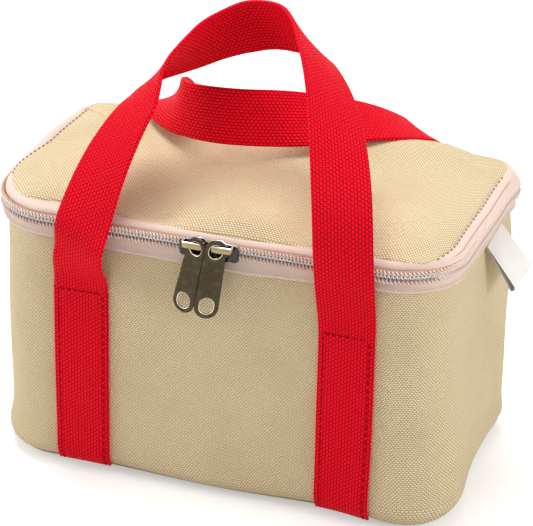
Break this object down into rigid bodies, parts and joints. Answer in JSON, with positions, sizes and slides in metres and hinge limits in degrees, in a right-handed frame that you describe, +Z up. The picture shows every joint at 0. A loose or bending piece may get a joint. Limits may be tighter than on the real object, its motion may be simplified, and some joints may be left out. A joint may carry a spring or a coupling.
{
  "type": "lunch box",
  "caption": "Soft insulated canvas lunch bag: padded body, domed lid zipped round three sides, and two webbing handles sewn down the walls.",
  "frame": {"origin": "centre of the underside of the bag, on the surface it stands on", "axes": "+X to the bag's right as seen from the front, +Y to the back where the lid folds, +Z up"},
  "size_m": [0.2101, 0.1353, 0.198],
  "materials": {
    "canvas": "plain-weave cotton canvas, khaki beige",
    "base_canvas": "plain-weave cotton canvas, a little darker from wear",
    "foam": "white closed-cell insulation foam",
    "foil": "silvery foil-faced lining",
    "tape": "rose-beige woven zip and binding tape",
    "coil": "grey nylon coil with rose stitching",
    "label": "white folded cloth, blank",
    "webbing": "bright red heavy cotton webbing",
    "slider_brass": "antique brass, worn bright on the edges",
    "bail_brass": "pale polished brass",
    "pull_bronze": "dark antique bronze, brushed"
  },
  "bodies": {
    "bag": {"wall_canvas": "canvas", "back_canvas": "canvas", "base_canvas": "base_canvas", "wall_foam": "foam", "base_foam": "foam", "foil_lining": "foil", "mouth_binding": "tape", "lower_zip_tape": "tape", "lower_zip_coil": "coil", "back_fold_lower": "canvas", "side_label": "label", "front_strap_left": "webbing", "front_strap_right": "webbing", "back_strap_left": "webbing", "back_strap_right": "webbing"},
    "lid": {"lid_canvas": "canvas", "lid_foam": "foam", "lid_lining": "foil", "lid_binding": "tape", "upper_zip_tape": "tape", "upper_zip_coil": "coil", "back_fold_upper": "canvas"},
    "front_handle": {"front_handle": "webbing"},
    "back_handle": {"back_handle": "webbing"},
    "left_slider": {"left_slider": "slider_brass", "left_bail": "bail_brass"},
    "right_slider": {"right_slider": "slider_brass", "right_bail": "bail_brass"},
    "left_pull": {"left_pull": "pull_bronze"},
    "right_pull": {"right_pull": "pull_bronze"}
  },
  "joints": [
    {"name": "lid_open", "type": "hinge", "parent": "bag", "child": "lid", "pos_m": [0, 0.0542, 0.117], "axis": [-1, 0, 0], "range_deg": [0, 110]},
    {"name": "front_handle_swing", "type": "hinge", "parent": "bag", "child": "front_handle", "pos_m": [0, -0.0536, 0.0875], "axis": [1, 0, 0], "range_deg": [0, 144]},
    {"name": "back_handle_swing", "type": "hinge", "parent": "bag", "child": "back_handle", "pos_m": [0, 0.0536, 0.0875], "axis": [-1, 0, 0], "range_deg": [0, 144]},
    {"name": "left_slide", "type": "slide", "parent": "bag", "child": "left_slider", "axis": [-1, 0, 0], "range_m": [0, 0.022]},
    {"name": "right_slide", "type": "slide", "parent": "bag", "child": "right_slider", "axis": [1, 0, 0], "range_m": [0, 0.022]},
    {"name": "left_pull_swing", "type": "hinge", "parent": "left_slider", "child": "left_pull", "pos_m": [-0.0064, -0.0593, 0.117], "axis": [-1, 0, 0], "range_deg": [0, 100]},
    {"name": "right_pull_swing", "type": "hinge", "parent": "right_slider", "child": "right_pull", "pos_m": [0.0064, -0.0593, 0.117], "axis": [-1, 0, 0], "range_deg": [0, 100]}
  ],
  "couplings": [
    {"joint": "front_handle_swing", "follows": "lid_open", "ratio": 1.3},
    {"joint": "back_handle_swing", "follows": "lid_open", "ratio": 1.3}
  ]
}
